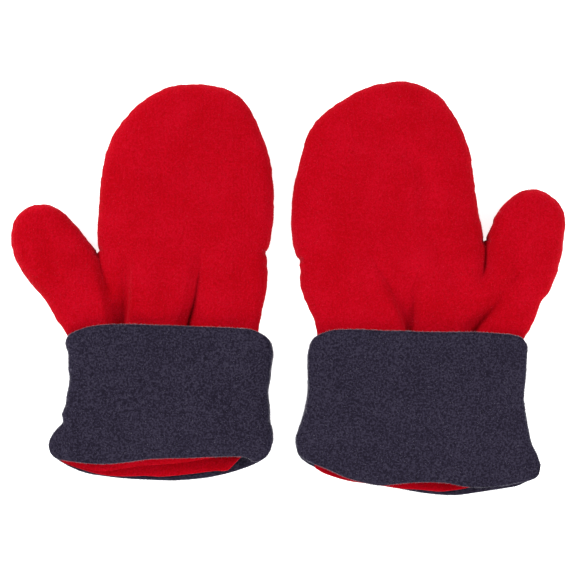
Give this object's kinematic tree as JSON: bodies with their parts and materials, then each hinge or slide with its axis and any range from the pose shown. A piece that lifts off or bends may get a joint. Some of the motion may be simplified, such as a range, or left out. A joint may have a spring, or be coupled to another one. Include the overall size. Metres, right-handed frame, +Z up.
{
  "type": "convertible flip-top mittens",
  "caption": "Pair of fleece flip-top mittens: a finger cap that folds back over the hand, a bound slit across the palm, a thumb, wrist elastic and a deep turned-up double cuff.",
  "frame": {"origin": "on the table, under the middle of the pair as it lies on its palms", "axes": "+X runs across the pair from the right-hand mitten to the left-hand mitten, +Y towards the fingertips, +Z up from the table"},
  "size_m": [0.349, 0.264, 0.026],
  "materials": {
    "red_fleece": "brushed fleece, matt, short nap",
    "navy_fleece": "brushed fleece, matt, pebbly nap",
    "red_binding": "fold-over elastic tape, fine rib",
    "elastic": "woven elastic"
  },
  "bodies": {
    "right_hand": {"right_back_of_hand": "red_fleece", "right_palm": "red_fleece", "right_palm_edge_binding": "red_binding", "right_wrist_elastic_back": "elastic", "right_wrist_elastic_palm": "elastic"},
    "right_cap": {"right_cap_back": "red_fleece", "right_cap_palm": "red_fleece", "right_cap_edge_binding": "red_binding"},
    "right_cuff": {"right_cuff_back": "navy_fleece", "right_cuff_palm": "navy_fleece"},
    "left_hand": {"left_back_of_hand": "red_fleece", "left_palm": "red_fleece", "left_palm_edge_binding": "red_binding", "left_wrist_elastic_back": "elastic", "left_wrist_elastic_palm": "elastic"},
    "left_cap": {"left_cap_back": "red_fleece", "left_cap_palm": "red_fleece", "left_cap_edge_binding": "red_binding"},
    "left_cuff": {"left_cuff_back": "navy_fleece", "left_cuff_palm": "navy_fleece"}
  },
  "joints": [
    {"name": "right_cap_flip", "type": "hinge", "parent": "right_hand", "child": "right_cap", "pos_m": [-0.0665, 0.022, 0.0262], "axis": [1, 0, 0], "range_deg": [0, 165]},
    {"name": "right_cuff_turn", "type": "slide", "parent": "right_hand", "child": "right_cuff", "axis": [0, -1, 0], "range_m": [0, 0.085]},
    {"name": "left_mitten_apart", "type": "slide", "parent": "right_hand", "child": "left_hand", "axis": [1, 0, 0], "range_m": [0, 0.2]},
    {"name": "left_cap_flip", "type": "hinge", "parent": "left_hand", "child": "left_cap", "pos_m": [0.06525, 0.02405, 0.0262], "axis": [0.9929, 0.1191, 0], "range_deg": [0, 165]},
    {"name": "left_cuff_turn", "type": "slide", "parent": "left_hand", "child": "left_cuff", "axis": [0, -1, 0], "range_m": [0, 0.085]}
  ]
}
